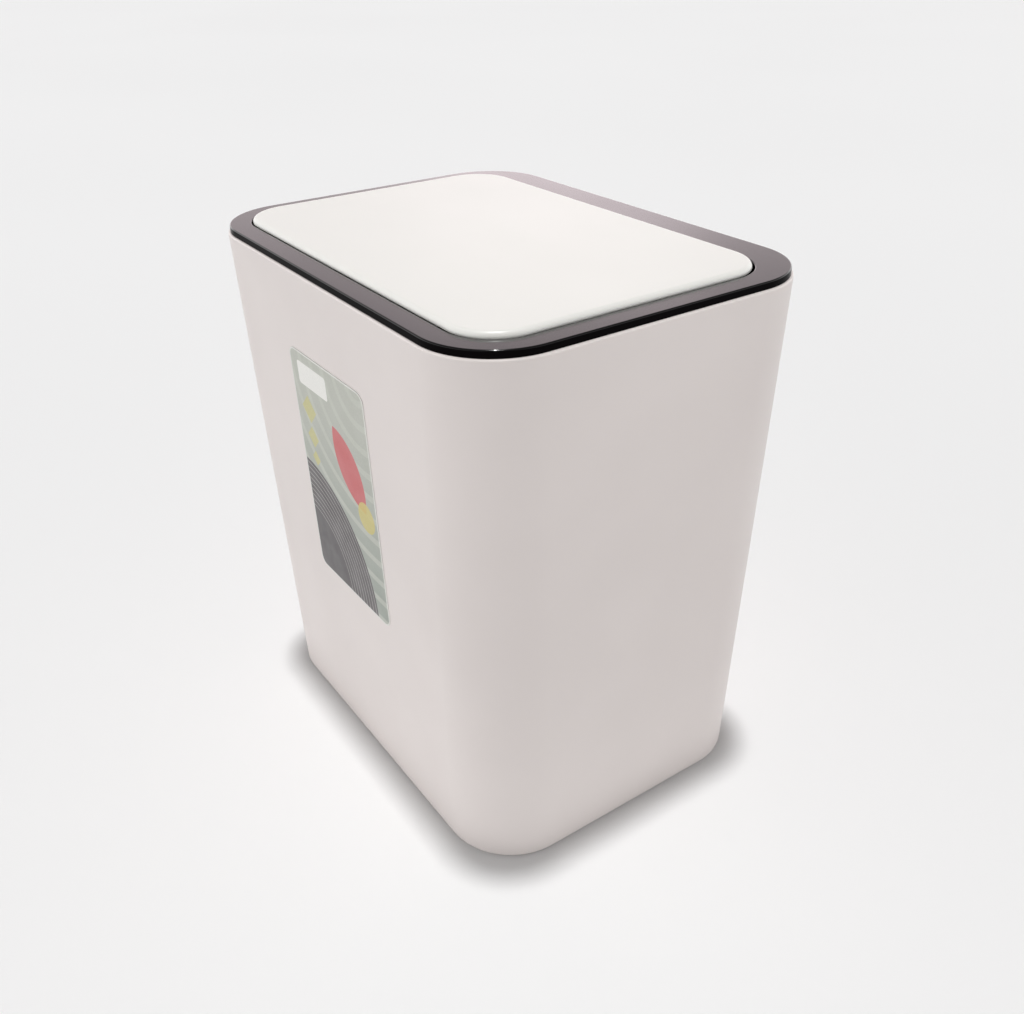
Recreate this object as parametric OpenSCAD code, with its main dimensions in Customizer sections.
// Push top countertop bin. A tapered tub carries a lift-off rim frame, and the
// frame carries a hinged flap. Pressing the flap's front edge frees a
// heart-cam latch, and two torsion springs lift the flap.
// The front faces -Y and the hinge is at the back. The origin is on the
// ground, under the middle of the tub.

/* [Tub] */
// Length of the tub over its top edge, left to right
body_len = 233; // [200:1:300]
// Depth of the tub over its top edge, front to back
body_dep = 173; // [150:1:220]
// Height of the tub's top edge above the ground
body_h = 250; // [200:1:320]
// Corner radius of the tub
corner_r = 33.5; // [28:0.5:40]
// How far each side leans in from the top edge to the base
draft = 6.5; // [2:0.5:10]
// Thickness of the tub's walls
wall = 2.4; // [2:0.1:3]
// Thickness of the tub's floor
floor_t = 3; // [2.5:0.1:5]
// Rounding of the tub's top edge
lip_r = 0.9; // [0.4:0.1:1]
// Rounding of the tub's bottom edge
base_r = 1.5; // [1:0.5:5]

/* [Feet] */
// Radius of a foot pad
pad_r = 7; // [4:0.5:9]
// Depth of a foot pad's socket in the floor
pad_seat = 1.2; // [0.8:0.1:1.6]
// How far a foot pad stands out of the floor
pad_proud = 0.5; // [0.3:0.1:1.5]
// Distance from a side of the base to a foot pad's centre
pad_inset = 22; // [18:1:30]

/* [Label] */
// Width of the front label
label_w = 70; // [30:1:90]
// Height of the front label
label_h = 117; // [40:1:130]
// Thickness of the front label
label_t = 0.25; // [0.1:0.05:0.5]
// Height of the label's centre above the ground
label_z = 155; // [110:1:170]

/* [Rim frame] */
// How far the rim's outer face stands inside the tub's outer face
rim_inset = 1.1; // [0.8:0.1:1.4]
// Height of the rim's band above the tub
rim_h = 3.2; // [2.8:0.1:6]
// Thickness of the rim's top plate
rim_t = 2.2; // [1.6:0.1:2.4]
// Rounding of the rim's outer top edge
rim_edge_r = 0.7; // [0.3:0.1:1.2]
// Width of the rim in front of the panel
rim_front = 11.2; // [11:0.1:18]
// Width of the rim beside the panel
rim_side = 11; // [11:0.1:18]
// Width of the rim behind the panel
rim_back = 18.4; // [14:0.1:24]
// Depth of the skirt that plugs into the tub
skirt_depth = 13; // [8:1:16]
// Thickness of the skirt and of the well's wall
skirt_t = 1.7; // [1.4:0.1:2]
// Depth of the well below the rim's top face
well_depth = 20; // [20:1:26]

/* [Flap] */
// How far the panel stands out of the rim
panel_proud = 2.2; // [1:0.1:4]
// Corner radius of the panel
panel_r = 20.5; // [12:0.5:26]
// Rounding of the panel's top edge
panel_edge_r = 2.2; // [1:0.1:2.4]
// Thickness of the panel's skin and of its side wall
panel_t = 1.8; // [1.4:0.1:2]
// Thickness of the tray's plate
tray_t = 1.8; // [1.4:0.1:2.2]
// Height of the tray's ribs
rib_h = 4; // [2:0.5:4]
// Gap between the panel and the rim at the front and the sides
panel_gap = 0.8; // [0.6:0.1:1.5]
// Gap between the panel and the rim at the back
back_gap = 1.3; // [1.3:0.1:3]

/* [Hinge] */
// Distance of the hinge axis behind the panel's back edge, under the rim
axis_behind = 6; // [5.5:0.5:8]
// Depth of the hinge axis below the rim's top face
axis_drop = 6; // [5.8:0.1:7]
// Radius of a hinge pin
pin_r = 1.25; // [1:0.05:1.5]
// Radius of the hinge lugs and knuckles round the pin
boss_r = 3; // [2.8:0.1:3.2]
// Distance of each hinge from the middle of the flap
hinge_x = 60; // [30:1:64]
// Radius of the spring wire
spring_wire_r = 0.5; // [0.3:0.05:0.6]
// Turns of a torsion spring
spring_turns = 5; // [3:1:7]
// Rise of the spring from one turn to the next
spring_pitch = 1.5; // [1.3:0.1:1.8]

/* [Latch] */
// How far the flap's front edge goes down when it is pressed
press_drop = 2.2; // [1.5:0.1:2.2]
// Radius of the latch wire
wire_r = 0.8; // [0.5:0.05:0.9]
// Depth of the heart-shaped groove in the cam
groove_depth = 1.8; // [1.2:0.1:2.4]
// Distance between the latch cover and the cam
cam_gap = 3; // [2.8:0.1:4]

/* [Hidden] */

// Steps in each corner of a lofted ring, and sides of a true circle
corner_steps = 10;
round_fn = 48;
// Clearances: a turning or screwed shaft, a sliding or stacked face, the plug in the tub
shaft_gap = 0.05;
face_gap = 0.1;
plug_gap = 0.3;
// How far a rib or lug reaches into the wall that carries it
bury = 0.8;

// Heights of the tub and the rim
floor_z = pad_proud + floor_t;
rim_top = body_h + rim_h;
plate_z = rim_top - rim_t;
skirt_z = body_h - skirt_depth;
well_z = rim_top - well_depth;

// Half sizes of the tub at its top edge
tub_hx = body_len / 2;
tub_hy = body_dep / 2;
function lean(z) = draft * (1 - (z - pad_proud) / (body_h - pad_proud));

// The rim's outline, the plug's outline and the panel's outline
rim_hx = tub_hx - rim_inset;
rim_hy = tub_hy - rim_inset;
rim_r = corner_r - rim_inset;
plug_in = wall + lean(skirt_z) + plug_gap;
panel_hx = rim_hx - rim_side;
panel_front = -rim_hy + rim_front;
panel_back = rim_hy - rim_back;
panel_hy = (panel_back - panel_front) / 2;
panel_cy = (panel_back + panel_front) / 2;
panel_top = rim_top + panel_proud;

// The aperture that the panel sits in
hole_hx = panel_hx + panel_gap;
hole_front = panel_front - panel_gap;
hole_back = panel_back + back_gap;
hole_hy = (hole_back - hole_front) / 2;
hole_cy = (hole_back + hole_front) / 2;
hole_r = panel_r + panel_gap;
hole_edge_r = 0.5;

// The hinge axis, and the levels of the flap's panel and tray
axis_y = panel_back + axis_behind;
axis_z = rim_top - axis_drop;
panel_low = rim_top - 0.6;
skin_z = panel_top - panel_t;
tray_top = skin_z - face_gap;
tray_z = tray_top - tray_t;
lug_w = 4;
knuckle_w = 3.6;
lug_x = 14;
knuckle_x = 9.5;
hinge_half = lug_x + lug_w / 2;
neck_h = 2 * boss_r - 0.8;
plate_drop = axis_drop - rim_t;

// The arms dip by arm_dip under the rim's edge; arm_y is their upright's distance from the axis
arm_t = 2.2;
arm_dip = 4.3;
arm_y = axis_behind + arm_t;
arm_low = arm_dip + arm_t;

// The torsion spring: mean coil radius, and half the coil's length
coil_r = pin_r + 0.65 + spring_wire_r;
coil_half = spring_pitch * (spring_turns + 1 / 8) / 2;

// The latch: housing on the well's front wall, then cover, gap and cam
housing_t = 8.5;
cover_t = 1.2;
cover_y = hole_front + housing_t;
cam_y = cover_y + cover_t + cam_gap;
cam_t = 4;
pin_z = rim_top - 17.2;
pivot_z = pin_z - 14;
housing_half = 9;
housing_low = pivot_z - 4;
housing_top = pin_z + 4;
pocket_t = 2 * wire_r + 0.6;
wire_y = cover_y - pocket_t / 2;
screw_x = 14;
screw_z = pin_z + 0.5;
screw_boss_r = 3.4;
screw_r = 1.4;
screw_tip = -(tub_hy - plug_in - skirt_t) + 1;
foot_t = 2;
tray_pad_t = 2;
foot_z = tray_z - tray_pad_t - foot_t;
foot_half = 14;
foot_len = 12;
cam_screw_x = 10.5;
cam_screw_y = cam_y + 7;
cam_screw_r = 1.05;
cam_half = 8;
cam_low = pin_z - 12;

// The rubber buffers under the flap's front corners
buffer_x = 72;
buffer_y = panel_front + 14.2;
buffer_r = 4;
buffer_t = 1.8;
stem_r = 1.5;
press_angle = asin(press_drop / (axis_y - panel_front));
buffer_drop = press_drop * (axis_y - buffer_y) / (axis_y - panel_front);
ledge_z = tray_z - buffer_t - buffer_drop - 0.2;

echo(hinge_axis = [0, axis_y, axis_z], press_angle = press_angle, pin_z = pin_z);

// Points of a rounded rectangle at height z: half sizes hx and hy, radius r, centre (0, cy)
function ring(hx, hy, r, z, cy = 0) = [
    for (q = [0:3], k = [0:corner_steps])
        let (a = 90 * (q + k / corner_steps), sx = q == 0 || q == 3 ? 1 : -1, sy = q < 2 ? 1 : -1)
        [sx * (hx - r) + r * cos(a), cy + sy * (hy - r) + r * sin(a), z]
];

// The same outline in the plane, for extrusions
function outline(hx, hy, r, cy = 0) = [for (p = ring(hx, hy, r, 0, cy)) [p.x, p.y]];

// Skin through a list of rings. An open skin is capped at both ends; a closed
// one joins its last ring to its first, and so makes a frame.
module loft(rings, closed = false) {
    n = len(rings[0]);
    m = len(rings);
    sides = [
        for (i = [0:closed ? m - 1 : m - 2], k = [0:n - 1])
            let (a = i * n + k, b = i * n + (k + 1) % n, up = (i + 1) % m * n)
            each [[a, up + k, up + (k + 1) % n], [a, up + (k + 1) % n, b]]
    ];
    caps = [[for (k = [0:n - 1]) k], [for (k = [0:n - 1]) m * n - 1 - k]];
    polyhedron([for (row = rings) each row], closed ? sides : concat(sides, caps));
}

// Upright prism between two heights
module slab(points, low, high) {
    translate([0, 0, low])
        linear_extrude(high - low)
            polygon(points);
}

// Box from one corner to the opposite one
module block(low, high) {
    translate(low)
        cube(high - low);
}

// Cylinder along X, centred on the hinge axis's height and depth
module along_x(r, x0, x1) {
    translate([x0, axis_y, axis_z])
        rotate([90, 0, 90])
            cylinder(r = r, h = x1 - x0, $fn = round_fn);
}

// Cylinder along +Y from y0 to y1
module along_y(r, x, z, y0, y1) {
    translate([x, y0, z])
        rotate([-90, 0, 0])
            cylinder(r = r, h = y1 - y0, $fn = round_fn);
}

// Tube of six sides along a path that never runs along X
function unit(v) = v / norm(v);
function tangent(path, i) = unit(path[min(i + 1, len(path) - 1)] - path[max(i - 1, 0)]);
module tube(path, r) {
    loft([
        for (i = [0:len(path) - 1])
            let (t = tangent(path, i), u = unit(cross(t, [1, 0, 0])), v = cross(u, t))
            [for (k = [0:5]) path[i] + r * (cos(60 * k) * v - sin(60 * k) * u)]
    ]);
}

// Arc of a bend in the YZ plane, from angle a0 to a1 about a centre
function bend(x, cy, cz, r, a0, a1, steps = 4) = [
    for (k = [0:steps])
        let (a = a0 + (a1 - a0) * k / steps)
        [x, cy + r * cos(a), cz + r * sin(a)]
];

// Tub

// Ring of the tub's outer face at height z, drawn in by d, and of its inner face
function tub_out(z, d = 0) =
    ring(tub_hx - lean(z) - d, tub_hy - lean(z) - d, corner_r - d, z);
function tub_in(z, d = 0) = tub_out(z, wall + d);

module outer_body() {
    base_hx = tub_hx - draft;
    base_hy = tub_hy - draft;
    inner_r = 4;
    color("white")
        difference() {
            loft(concat(
                [for (a = [0:22.5:90]) tub_out(pad_proud + base_r * (1 - cos(a)), base_r * (1 - sin(a)))],
                [for (a = [0:30:90]) tub_out(body_h - lip_r * (1 - sin(a)), lip_r * (1 - cos(a)))],
                [tub_in(body_h)],
                [for (a = [0:30:90]) tub_in(floor_z + inner_r * (1 - sin(a)), inner_r * (1 - cos(a)))]
            ));
            for (sx = [-1, 1], sy = [-1, 1])
                translate([sx * (base_hx - pad_inset), sy * (base_hy - pad_inset), 0])
                    cylinder(r = pad_r + face_gap, h = pad_proud + pad_seat, $fn = round_fn);
            slab(outline(base_hx - 34, base_hy - 34, 10), 0, pad_proud + pad_seat);
        }
}

module foot_pad(sx, sy) {
    color("dimgray")
        translate([sx * (tub_hx - draft - pad_inset), sy * (tub_hy - draft - pad_inset), 0])
            rotate_extrude($fn = round_fn)
                polygon([[0, 0], [pad_r - 0.6, 0], [pad_r, 0.4],
                    [pad_r, pad_proud + pad_seat], [0, pad_proud + pad_seat]]);
}

// Sticker on the flat middle of the leaning front face
module front_label() {
    color("silver")
        translate([0, -tub_hy + lean(label_z), label_z])
            rotate([90 + atan(draft / (body_h - pad_proud)), 0, 0])
                slab(outline(label_w / 2, label_h / 2, 5), 0.03, 0.03 + label_t);
}

// Rim frame

// Ring of the rim's outside, of the plug's outside and of the aperture, each drawn in by d
function rim_ring(z, d = 0) = ring(rim_hx - d, rim_hy - d, rim_r - d, z);
function plug_ring(z, d = 0) = ring(tub_hx - plug_in - d, tub_hy - plug_in - d, corner_r - plug_in - d, z);
function hole_ring(z, d = 0) = ring(hole_hx - d, hole_hy - d, hole_r - d, z, hole_cy);

// Rim, well and plug in one closed section
module rim_section() {
    lead_in = 0.6;
    loft(concat(
        [rim_ring(body_h)],
        [for (a = [0:30:90]) rim_ring(rim_top - rim_edge_r * (1 - sin(a)), rim_edge_r * (1 - cos(a)))],
        [hole_ring(rim_top, -hole_edge_r), hole_ring(rim_top - hole_edge_r), hole_ring(well_z)],
        [hole_ring(well_z, -skirt_t), hole_ring(plate_z, -skirt_t)],
        [plug_ring(plate_z, skirt_t), plug_ring(skirt_z, skirt_t), plug_ring(skirt_z, lead_in)],
        [plug_ring(skirt_z + 2 * lead_in), plug_ring(body_h)]
    ), closed = true);
}

// Ribs between the well's wall and the plug
module rim_ribs() {
    rib_t = 1.2;
    low = skirt_z + 3;
    high = plate_z + bury;
    wall_y = tub_hy - plug_in - bury;
    wall_x = tub_hx - plug_in - bury;
    for (s = [-1, 0, 1], x = s == 0 ? [0] : [s * (hinge_x - hinge_half - 4), s * (hinge_x + hinge_half + 4)]) {
        block([x - rib_t / 2, -wall_y, low], [x + rib_t / 2, hole_front - bury, high]);
        block([x - rib_t / 2, hole_back + bury, low], [x + rib_t / 2, wall_y, high]);
    }
    for (y = [-40, 0, 40]) {
        block([-wall_x, y - rib_t / 2, low], [-hole_hx - bury, y + rib_t / 2, high]);
        block([hole_hx + bury, y - rib_t / 2, low], [wall_x, y + rib_t / 2, high]);
    }
}

// Two lugs that hang from the rim's top plate, behind a window in the well's back wall
module hinge_lugs(side) {
    for (s = [-1, 1]) {
        x = side * hinge_x + s * lug_x;
        block([x - lug_w / 2, axis_y - neck_h / 2, axis_z],
            [x + lug_w / 2, axis_y + neck_h / 2, plate_z + bury]);
        along_x(boss_r, x - lug_w / 2, x + lug_w / 2);
    }
}
module hinge_window(side) {
    block([side * hinge_x - hinge_half - 1, hole_back - 1, well_z - 1],
        [side * hinge_x + hinge_half + 1, axis_y - boss_r + 0.2, plate_z]);
}

// Ledge on the well's front wall that the pressed flap lands on, with a gusset under it
module landing(side) {
    x = side * buffer_x;
    reach = buffer_y + buffer_r;
    block([x - buffer_r - 1, hole_front - bury, ledge_z - 1.8], [x + buffer_r + 1, reach, ledge_z]);
    translate([x - 0.8, 0, 0])
        rotate([90, 0, 90])
            linear_extrude(1.6)
                polygon([[hole_front - bury, ledge_z - 1], [reach - 1, ledge_z - 1],
                    [hole_front - bury, ledge_z - 12]]);
}

module rim_frame() {
    color("#1c1a1b")
        difference() {
            union() {
                difference() {
                    union() {
                        rim_section();
                        rim_ribs();
                    }
                    for (side = [-1, 1])
                        hinge_window(side);
                }
                for (side = [-1, 1]) {
                    hinge_lugs(side);
                    landing(side);
                    along_y(screw_boss_r, side * screw_x, screw_z, screw_tip - 1.3, hole_front - bury);
                }
            }
            for (side = [-1, 1]) {
                along_x(pin_r + shaft_gap, side * hinge_x - hinge_half - 1, side * hinge_x + hinge_half + 1);
                along_y(screw_r + shaft_gap, side * screw_x, screw_z, screw_tip - 0.3, hole_front + 1);
            }
        }
}

// Hinge

// Steel pin with its head on the side towards the middle
module hinge_pin(side) {
    inner = hinge_x - hinge_half;
    outer = hinge_x + hinge_half;
    color("silver")
        scale([side, 1, 1]) {
            along_x(pin_r, inner - 1, outer + 0.6);
            along_x(pin_r + 0.9, inner - 1.3, inner - 0.2);
        }
}

// Rear leg under the rim's top plate, coil round the pin, front leg under the arms' bridge
function spring_path(side) = concat(
    [for (p = [[7.5, plate_drop - 0.8], [3.5, plate_drop - 0.9], [1.4, coil_r]])
        [side * (hinge_x - coil_half), axis_y + p.x, axis_z + p.y]],
    [for (i = [0:8 * spring_turns + 1])
        let (a = 45 * i)
        [side * (hinge_x - coil_half + spring_pitch * i / 8), axis_y - coil_r * sin(a), axis_z + coil_r * cos(a)]],
    [for (p = [[4.6, 2.4], [7, arm_low + 0.2], [8, arm_low + 0.8], [arm_y + arm_t + 1.5, arm_low + 0.8]])
        [side * (hinge_x + coil_half), axis_y - p.x, axis_z - p.y]]
);
echo(spring_gap = min([
    for (i = [0:8 * (spring_turns - 1) + 4])
        norm(spring_path(1)[i + 12] - spring_path(1)[i + 4])
]) - 2 * spring_wire_r);

module hinge_spring(side) {
    color("gainsboro")
        tube(spring_path(side), spring_wire_r);
}

// Latch

// Body screwed to the well's front wall, with a fan-shaped pocket for the wire
module latch_housing() {
    color("#2b2b2d")
        difference() {
            union() {
                block([-housing_half, hole_front, housing_low], [housing_half, cover_y, housing_top]);
                block([-screw_x, hole_front, screw_z - 1.5], [screw_x, cover_y - 3, screw_z + 1.5]);
                for (s = [-1, 1])
                    along_y(screw_boss_r, s * screw_x, screw_z, hole_front, cover_y);
            }
            translate([0, cover_y + 1, 0])
                rotate([90, 0, 0])
                    linear_extrude(pocket_t + 1)
                        polygon([[-1.6, pivot_z - 1.6], [1.6, pivot_z - 1.6], [5.2, pin_z + 2.4], [-5.2, pin_z + 2.4]]);
            along_y(wire_r + shaft_gap, 0, pivot_z, hole_front + 1.2, cover_y);
            for (s = [-1, 1])
                along_y(screw_r + shaft_gap, s * screw_x, screw_z, hole_front - 1, cover_y + 1);
        }
}

// Plate that keeps the wire in its pocket, with a window for the wire's tip
module latch_cover() {
    color("#3a3a3c")
        difference() {
            union() {
                block([-housing_half, cover_y, housing_low], [housing_half, cover_y + cover_t, housing_top]);
                block([-screw_x, cover_y, screw_z - 1.5], [screw_x, cover_y + cover_t, screw_z + 1.5]);
                for (s = [-1, 1])
                    along_y(screw_boss_r, s * screw_x, screw_z, cover_y, cover_y + cover_t);
            }
            block([-4.4, cover_y - 1, pin_z - 1.6], [4.4, cover_y + cover_t + 1, pin_z + 1.8]);
            for (s = [-1, 1])
                along_y(screw_r + shaft_gap, s * screw_x, screw_z, cover_y - 1, cover_y + cover_t + 1);
        }
}

// Bent wire: its foot turns in the housing and its tip follows the groove
module latch_wire() {
    turn = 1.6;
    tip_y = cam_y + groove_depth - 0.3;
    color("silver")
        tube(concat(
            [[0, hole_front + 1.6, pivot_z]],
            bend(0, wire_y - turn, pivot_z + turn, turn, -90, 0),
            bend(0, wire_y + turn, pin_z - turn, turn, 180, 90),
            [[0, tip_y, pin_z]]
        ), wire_r);
}

module latch_screw(side) {
    head_t = 1.6;
    color("silver")
        difference() {
            union() {
                along_y(screw_r, side * screw_x, screw_z, screw_tip, cover_y + cover_t);
                along_y(2 * screw_r, side * screw_x, screw_z, cover_y + cover_t, cover_y + cover_t + head_t);
            }
            for (a = [0, 90])
                translate([side * screw_x, cover_y + cover_t + head_t, screw_z])
                    rotate([0, a, 0])
                        cube([3, 2, 0.7], center = true);
        }
}

// Outline of the groove, which runs round the heart, and of the heart itself.
// The wire's tip rests in the notch on top of the heart, at (0, 0).
groove_points = [[-3.2, -12.1], [-1.7, -9.6], [-5.6, -3.2], [-5.6, 2.4], [-3.4, 4.4], [-0.6, 4.4], [0.4, 3],
    [1.4, 4.4], [3.4, 4.4], [5.6, 2.4], [5.6, -3.2], [1.7, -9.6], [3.2, -12.1]];
heart_points = [[0, -0.95], [1.3, -0.45], [2.3, 0.7], [3.4, -0.4], [3.4, -2.6], [0.5, -7.4], [-0.5, -7.4],
    [-3.4, -2.6], [-3.4, -1], [-2.3, 0.1], [-1.3, -0.55]];

module latch_cam() {
    color("#e8e6e2")
        difference() {
            union() {
                block([-foot_half, cam_y, foot_z], [foot_half, cam_y + foot_len, foot_z + foot_t]);
                translate([0, cam_y + cam_t, 0])
                    rotate([90, 0, 0])
                        linear_extrude(cam_t)
                            polygon([[-cam_half, foot_z + 1], [-cam_half, cam_low + 2], [2 - cam_half, cam_low],
                                [cam_half - 2, cam_low], [cam_half, cam_low + 2], [cam_half, foot_z + 1]]);
                for (s = [-1, 1])
                    translate([s * 5.5 - 0.8, 0, 0])
                        rotate([90, 0, 90])
                            linear_extrude(1.6)
                                polygon([[cam_y + cam_t - 1, foot_z + 0.5], [cam_y + foot_len - 1, foot_z + 0.5],
                                    [cam_y + cam_t - 1, foot_z - 11]]);
            }
            translate([0, cam_y + groove_depth, pin_z])
                rotate([90, 0, 0])
                    linear_extrude(groove_depth + 1)
                        difference() {
                            polygon(groove_points);
                            polygon(heart_points);
                        }
            for (s = [-1, 1])
                translate([s * cam_screw_x, cam_screw_y, foot_z - 1])
                    cylinder(r = cam_screw_r + 0.2, h = foot_t + 2, $fn = round_fn);
        }
}

module cam_screw(side) {
    head_t = 1.2;
    color("silver")
        translate([side * cam_screw_x, cam_screw_y, foot_z])
            difference() {
                union() {
                    translate([0, 0, -head_t])
                        cylinder(r = 2.4, h = head_t, $fn = round_fn);
                    translate([0, 0, -0.1])
                        cylinder(r = cam_screw_r, h = foot_t + tray_pad_t + tray_t - 0.4, $fn = round_fn);
                }
                for (a = [0, 90])
                    translate([0, 0, -head_t])
                        rotate([0, 0, a])
                            cube([2.6, 0.6, 1.2], center = true);
            }
}

// Flap

// Ring of the panel's outline at height z, drawn in by d
function panel_ring(z, d = 0) = ring(panel_hx - d, panel_hy - d, panel_r - d, z, panel_cy);

// White cap: flat top, rounded edge, short side wall
module flap_panel() {
    color("white")
        loft(concat(
            [panel_ring(skin_z, panel_t), panel_ring(panel_low, panel_t), panel_ring(panel_low)],
            [for (a = [0:22.5:90])
                panel_ring(panel_top - panel_edge_r * (1 - sin(a)), panel_edge_r * (1 - cos(a)))]
        ));
}

// Grid of ribs under the tray, in front of the hinge
module tray_ribs() {
    rib_t = 1.4;
    inset = panel_t + 6;
    back = axis_y - 17;
    low = tray_z - rib_h;
    high = tray_z + 0.5;
    intersection() {
        difference() {
            slab(outline(panel_hx - inset, panel_hy - inset, panel_r - inset, panel_cy), low, high);
            slab(outline(panel_hx - inset - rib_t, panel_hy - inset - rib_t, panel_r - inset - rib_t, panel_cy),
                low - 1, high + 1);
        }
        block([-panel_hx, panel_front, low - 1], [panel_hx, back, high + 1]);
    }
    block([-panel_hx + inset + 0.5, back - rib_t, low], [panel_hx - inset - 0.5, back, high]);
    for (y = [panel_front + 44, panel_front + 80])
        block([-panel_hx + inset + 0.5, y, low], [panel_hx - inset - 0.5, y + rib_t, high]);
    for (x = [-62, -24, 24, 62])
        block([x - rib_t / 2, panel_front + inset + 0.5, low + 1], [x + rib_t / 2, back - 0.5, high]);
}

// Goose-neck arm: from the axis down under the rim's edge, then up to the tray
module hinge_arm(x) {
    along_x(boss_r, x - knuckle_w / 2, x + knuckle_w / 2);
    translate([x - knuckle_w / 2, axis_y, axis_z])
        rotate([90, 0, 90])
            linear_extrude(knuckle_w)
                polygon([[0, 2.4], [-2.6, 1.4], [-3.5, -0.6], [-3.9, -2.2], [-4.5, -arm_dip],
                    [-axis_behind - 0.6, -arm_dip], [-arm_y, -arm_dip + 1.1], [-arm_y, tray_top - axis_z],
                    [-arm_y - arm_t - 0.6, tray_top - axis_z], [-arm_y - arm_t - 0.6, -arm_low + 1.8],
                    [-arm_y - 1, -arm_low], [-3.6, -arm_low], [-1.2, -4.6], [0, -2.4]]);
}

// Two arms and the bridge that joins their uprights
module hinge_arms(side) {
    for (s = [-1, 1])
        hinge_arm(side * hinge_x + s * knuckle_x);
    block([side * hinge_x - knuckle_x, axis_y - arm_y - arm_t, axis_z - arm_low],
        [side * hinge_x + knuckle_x, axis_y - arm_y - 0.4, tray_z + 0.5]);
}

module flap_tray() {
    edge = panel_t + 0.2;
    color("#4a4a4c")
        difference() {
            union() {
                slab(outline(panel_hx - edge, panel_hy - edge, panel_r - edge, panel_cy), tray_z, tray_top);
                difference() {
                    tray_ribs();
                    for (side = [-1, 1])
                        block([side * buffer_x - buffer_r - 2, panel_front, tray_z - rib_h - 1],
                            [side * buffer_x + buffer_r + 2, buffer_y + buffer_r + 1, tray_z - 0.2]);
                }
                for (side = [-1, 1]) {
                    hinge_arms(side);
                    translate([side * cam_screw_x, cam_screw_y, tray_z - tray_pad_t])
                        cylinder(r = 3.2, h = tray_pad_t + 0.5, $fn = round_fn);
                }
            }
            for (side = [-1, 1]) {
                along_x(pin_r + shaft_gap, side * hinge_x - hinge_half, side * hinge_x + hinge_half);
                translate([side * cam_screw_x, cam_screw_y, tray_z - tray_pad_t - 1])
                    cylinder(r = cam_screw_r + shaft_gap, h = tray_pad_t + tray_t + 0.8, $fn = round_fn);
                translate([side * buffer_x, buffer_y, tray_z - 1])
                    cylinder(r = stem_r + shaft_gap, h = tray_t + 2, $fn = round_fn);
            }
        }
}

// Rubber button pushed into the tray
module flap_buffer(side) {
    color("#222222")
        translate([side * buffer_x, buffer_y, tray_z])
            rotate_extrude($fn = round_fn)
                polygon([[0, -buffer_t], [buffer_r - 0.8, -buffer_t], [buffer_r, 0.8 - buffer_t],
                    [buffer_r, 0], [stem_r, 0], [stem_r, tray_t], [0, tray_t]]);
}

outer_body();
foot_pad(-1, -1);  // foot_pad_front_left
foot_pad(1, -1);  // foot_pad_front_right
foot_pad(-1, 1);  // foot_pad_rear_left
foot_pad(1, 1);  // foot_pad_rear_right
front_label();
rim_frame();
hinge_pin(-1);  // hinge_pin_left
hinge_pin(1);  // hinge_pin_right
hinge_spring(-1);  // hinge_spring_left
hinge_spring(1);  // hinge_spring_right
latch_housing();
latch_cover();
latch_wire();
latch_screw(-1);  // latch_screw_left
latch_screw(1);  // latch_screw_right
flap_panel();
flap_tray();
latch_cam();
cam_screw(-1);  // cam_screw_left
cam_screw(1);  // cam_screw_right
flap_buffer(-1);  // flap_buffer_left
flap_buffer(1);  // flap_buffer_right
